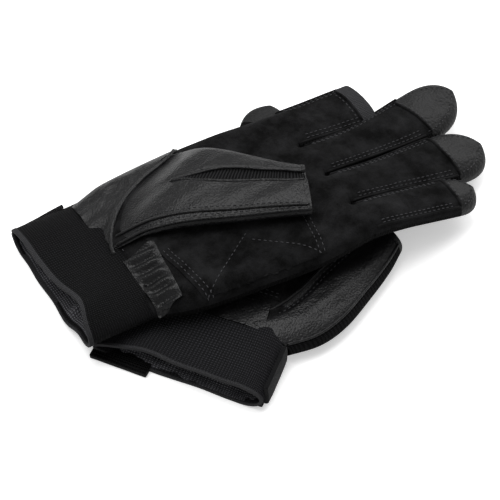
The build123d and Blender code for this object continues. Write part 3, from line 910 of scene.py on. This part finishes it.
ribTurn, leatherTurn = 0.56, 2.15  # where the ribs end and the leather ends, round the tube
lowerGore = thumbPart("lowerThumbGore", "leather", 0, 0.42, ribTurn, leatherTurn, skyward, 34)
lowerThumbOuter = thumbPart("lowerThumbOuter", "leather", 0.40, 0.985, ribTurn, leatherTurn, skyward, 50)
lowerThumbRibs = thumbPart("lowerThumbKnitInsert", "knitCross", 0, 0.985, -0.55, ribTurn + 0.03,
                           Vector((0, -1, 0.2)), 70, 14)
lowerThumbInner = thumbPart("lowerThumbInner", "suede", 0, 0.985, leatherTurn - 2 * pi - 0.05, -0.55,
                            None, 56, 40)
lowerThumbHem = thumbPart("lowerThumbHem", "leather", 0.95, 1.0, 0, 2 * pi, None, 5, 60, 1.8, 0.5)
ribWelt = [alongPath(lambda t, turn=turn: lowerThumbRing(t, turn, 0.35), 0.01, 0.97)
           for turn in (ribTurn + 0.03, leatherTurn)]
lowerThumbWelt = cordPiece("lowerThumbWelt", "leather", ribWelt, 0.8)
lowerThumbStitches = stitchPiece("lowerThumbStitches", [
    alongPath(lambda t, b=b: lowerThumbPoint(t, b, 1, 0.35), 0.04, 0.93) for b in (0.66, 0.72)])
print("lower thumb ready")

# the lower cuff, whose mouth stands open towards the wrist
lowerCuff = {"length": 38.5, "lip": 1.5}


def lowerCuffPoint(p, turn, lift=0.0):
    q = cos(turn)
    side = sideOf(turn)
    drawn = 4.0 * exp(-((q - 0.35) / 0.32) ** 2) * (side > 0) + 1.4 * ripple(q * 45, side, 17, 9, 85)
    x, y, distance = lowerAt(p + drawn * ease(p, 27, 0), q)
    mouth = ease(p, 26, 0)
    top = lowerTop(x, y) + lowerCuff["lip"] * mouth * (1 - q * q) + 0.5
    t = (top - 0.5) / 2
    sway = 0.9 * ripple(q * 45, p, 24, 20, 81 + side)
    z = 0.5 + t + side * (t * roundOff(distance / 15, 2.0) + lift)
    z += sway * ease(distance, 0, 9) * (side > 0)
    return world(x, y, max(0.4, z))


lowerCuffBand = sheetPiece("lowerCuffBand", "coarseElastic", 26, 110,
                           lambda a, b: lowerCuffPoint(mix(1.0, lowerCuff["length"], a), 2 * pi * b),
                           (38, 190), 1.6, outward=None)
lowerCuffHem = sheetPiece("lowerCuffHem", "tape", 4, 110,
                          lambda a, b: lowerCuffPoint(mix(0, 2.4, a), 2 * pi * b, 0.25),
                          (3, 190), 1.7, outward=None)


def lowerLiningPoint(a, b):
    turn = mix(pi * 1.06, pi * 1.94, b)
    low, high = lowerCuffPoint(mix(1.5, 24, a), turn), lowerCuffPoint(mix(1.5, 24, a), 2 * pi - turn)
    rise = 0.26 + 0.16 * ripple(b * 90, a * 4, 13, 4, 43) + 0.08 * ripple(b * 90, a * 9, 4, 3, 44)
    return low.lerp(high, min(0.8, max(0.12, rise * ease(a, -0.3, 0.5))))


lowerLining = sheetPiece("lowerCuffLining", "lining", 14, 90, lowerLiningPoint, (22, 90), 0.8)


def lowerUnder(p0, p1, q0, q1, z):
    def place(a, b):
        x, y, _ = lowerAt(mix(p0, p1, a), mix(q0, q1, b))
        return world(x, y, z + 0.25 * ripple(x, y, 9, 9, 91))
    return place


lowerStrap = sheetPiece("lowerWristStrap", "strap", 18, 40,
                        lowerUnder(3.4, 33, -0.98, 0.28, 1.5), (29, 58), 1.2)
lowerHook = sheetPiece("lowerHookPatch", "hook", 18, 30,
                       lowerUnder(-4.5, 26, 0.32, 1.0, 2.6), (29, 34), 2.2)


def lowerTabPoint(a, b):  # the strap's end comes from under the cuff and stands up beside it
    out = mix(-5, 1.9, sin(min(1, a / 0.4) * pi / 2)) - 0.9 * ease(a, 0.6, 1.1)
    up = 13.5 * ease(a, 0.15, 1.1)
    x, y, _ = lowerAt(mix(6.2, 31.0, b), -1)
    angle = radians(36)
    wave = 0.3 * ripple(b * 26, a * 15, 11, 8, 92)
    return world(x + (out + wave) * sin(angle), y - (out + wave) * cos(angle), 1.2 + up)


lowerTab = sheetPiece("lowerStrapTab", "strap", 20, 26, lowerTabPoint, (18, 25), 2.2,
                      outward=Vector((0.588, -0.809, 0)))
onTab = Vector((-0.0012, 0.0016, 0.0004))  # from the tab's outer face to its inner one
tabSeam = alongPath(lambda t: lowerTabPoint(0.86, t) + onTab, 0.06, 0.94)
tabStitches = stitchPiece("lowerTabStitches", [tabSeam])
print("lower cuff ready")


# every piece hides the CAD solids it stands for and rides on their body; a piece given a bend is baked where
# it lies instead
def belong(pieces, body, *nodes, bend=None):
    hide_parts(*nodes)
    for piece in pieces:
        if bend:
            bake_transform(piece)
        else:
            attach(piece, body)


def owned(*names):
    return [scene.objects[name] for name in names]


glove = "upper_glove"
belong(owned("upperPalmPanel"), glove, "upper_palm_panel")
belong(owned("upperBackPanel"), glove, "upper_back_panel")
belong(owned("upperSideStrips"), glove, "upper_side_strips")
belong([heelTab], glove, "upper_heel_panel")
belong([palmPatch, patchStitches], glove, "upper_palm_patch")
belong([upperCuffBand, upperLining], glove, "upper_cuff_band")
belong([upperCuffHem], glove, "upper_cuff_hem")
belong([upperStrap], glove, "upper_wrist_strap")
belong([upperHook], glove, "upper_hook_patch")
belong([gusset, curvedWelt, gussetStitches], glove, "upper_thumb_gore")
belong([upperTabPiece], "upper_wrist_tab", "upper_strap_tab")
for name, made in fingerPieces.items():
    low, body = name.lower(), f"upper_{name.lower()}_finger"
    across = sum(fingers[name]["base"]) / 2
    bend = (glove, world(146, across, 30), world(160, across, 28))
    belong([made["Front"], made["Ridges"], made["Stitches"]], body, f"upper_{low}_front", bend=bend)
    for part in ("Back", "Sidewalls", "Tip", "Hem"):
        if part in made:
            belong([made[part]], body, f"upper_{low}_{part.lower()}", bend=bend)
thumbBend = (glove, world(70, 5, 30), world(92, -6, 36))
belong([thumbOuter, thumbPiping, thumbStitches], "upper_thumb_body", "upper_thumb_outer", bend=thumbBend)
for piece, node in ((thumbInner, "inner"), (thumbWalls, "sidewalls"), (thumbInsert, "knit_insert"),
                    (thumbHem, "hem")):
    belong([piece], "upper_thumb_body", f"upper_thumb_{node}", bend=thumbBend)

glove = "lower_glove"
belong([lowerPalm], glove, "lower_palm_panel")
belong([lowerBack], glove, "lower_back_panel")
belong([lowerStrips], glove, "lower_side_strips")
belong([lowerHeel], glove, "lower_heel_panel")
belong([lowerPatch, lowerPatchStitches], glove, "lower_palm_patch")
belong([lowerCuffBand, lowerLining], glove, "lower_cuff_band")
belong([lowerCuffHem], glove, "lower_cuff_hem")
belong([lowerStrap], glove, "lower_wrist_strap")
belong([lowerHook], glove, "lower_hook_patch")
hingeX, hingeY, _ = lowerAt(18, -1)
belong([lowerTab, tabStitches], "lower_wrist_tab", "lower_strap_tab",
       bend=(glove, world(hingeX - 0.6, hingeY + 0.8, 1), world(hingeX + 1.2, hingeY - 1.6, 1)))
belong([made["Front"] for made in lowerFingerPieces.values()], glove, "lower_finger_front")
belong([made["Back"] for made in lowerFingerPieces.values()], glove, "lower_finger_back")
belong([made["Sidewalls"] for made in lowerFingerPieces.values()], glove, "lower_finger_sidewalls")
for name in ("Little", "Ring", "Middle"):
    belong([lowerFingerPieces[name]["Tip"]], glove, f"lower_{name.lower()}_tip")
belong([lowerFingerPieces["Index"]["Hem"]], glove, "lower_index_hem")
thumbBend = (glove, world(104, -79, 6), world(124, -73, 6))
belong([lowerGore], "lower_thumb_body", "lower_thumb_gore", bend=thumbBend)
for pieces, node in (([lowerThumbOuter, lowerThumbWelt, lowerThumbStitches], "outer"),
                     ([lowerThumbInner], "inner"), ([lowerThumbRibs], "knit_insert"),
                     ([lowerThumbHem], "hem")):
    belong(pieces, "lower_thumb_body", f"lower_thumb_{node}", bend=thumbBend)
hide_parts("lower_thumb_knit_insert", "lower_thumb_sidewall")

# a white sweep: plain white to the camera, while the object sees a dimmer sky
skyShare = 0.42
floorMaterial = bpy.data.materials.new("whitePaperSweep")
floorMaterial.use_nodes = True
tree = floorMaterial.node_tree
tree.nodes["Principled BSDF"].inputs["Base Color"].default_value = (0.93, 0.93, 0.93, 1)
tree.nodes["Principled BSDF"].inputs["Roughness"].default_value = 0.9
tree.nodes["Principled BSDF"].inputs["Emission Color"].default_value = (1, 1, 1, 1)
toCamera = addNode(tree, "LightPath").outputs["Is Camera Ray"]
lift = addNode(tree, "Math", {0: toCamera}, {1: skyShare}, operation="MULTIPLY").outputs["Value"]
tree.links.new(lift, tree.nodes["Principled BSDF"].inputs["Emission Strength"])
bm = bmesh.new()
bmesh.ops.create_grid(bm, x_segments=2, y_segments=2, size=6)
mesh = bpy.data.meshes.new("floor")
bm.to_mesh(mesh)
bm.free()
mesh.materials.append(floorMaterial)
floor = bpy.data.objects.new("floor", mesh)
scene.collection.objects.link(floor)

studioWorld = bpy.data.worlds.new("studio")
scene.world = studioWorld
studioWorld.use_nodes = True
background = studioWorld.node_tree.nodes["Background"]
path = addNode(studioWorld.node_tree, "LightPath")
sky = addNode(studioWorld.node_tree, "Mix", {"Factor": path.outputs["Is Camera Ray"]},
              {"A": skyShare, "B": 1.0})
studioWorld.node_tree.links.new(sky.outputs["Result"], background.inputs["Strength"])
background.inputs["Color"].default_value = (1, 1, 1, 1)


def softLight(name, place, aim, size, power):
    lamp = bpy.data.lights.new(name, "AREA")
    lamp.shape = "RECTANGLE"
    lamp.size, lamp.size_y = size
    lamp.energy = power
    light = bpy.data.objects.new(name, lamp)
    light.location = place
    light.rotation_euler = (Vector(aim) - Vector(place)).to_track_quat("-Z", "Y").to_euler()
    scene.collection.objects.link(light)


softLight("overheadSoftbox", (-0.15, 0.35, 1.25), (0, 0, 0.02), (1.3, 1.0), 15)
softLight("sideSoftbox", (0.9, 0.35, 0.7), (0, 0, 0.02), (0.7, 0.7), 6)

cameraData = bpy.data.cameras.new("camera")
cameraData.lens = 117.5
cameraData.sensor_width = 36
camera = bpy.data.objects.new("camera", cameraData)
camera.location = world(-173.7, -490.4, 651.1)
lookedAt = world(104.3, -20.3, 0)
camera.rotation_euler = (lookedAt - camera.location).to_track_quat("-Z", "Y").to_euler()
scene.collection.objects.link(camera)
scene.camera = camera
scene.view_settings.view_transform = "Standard"
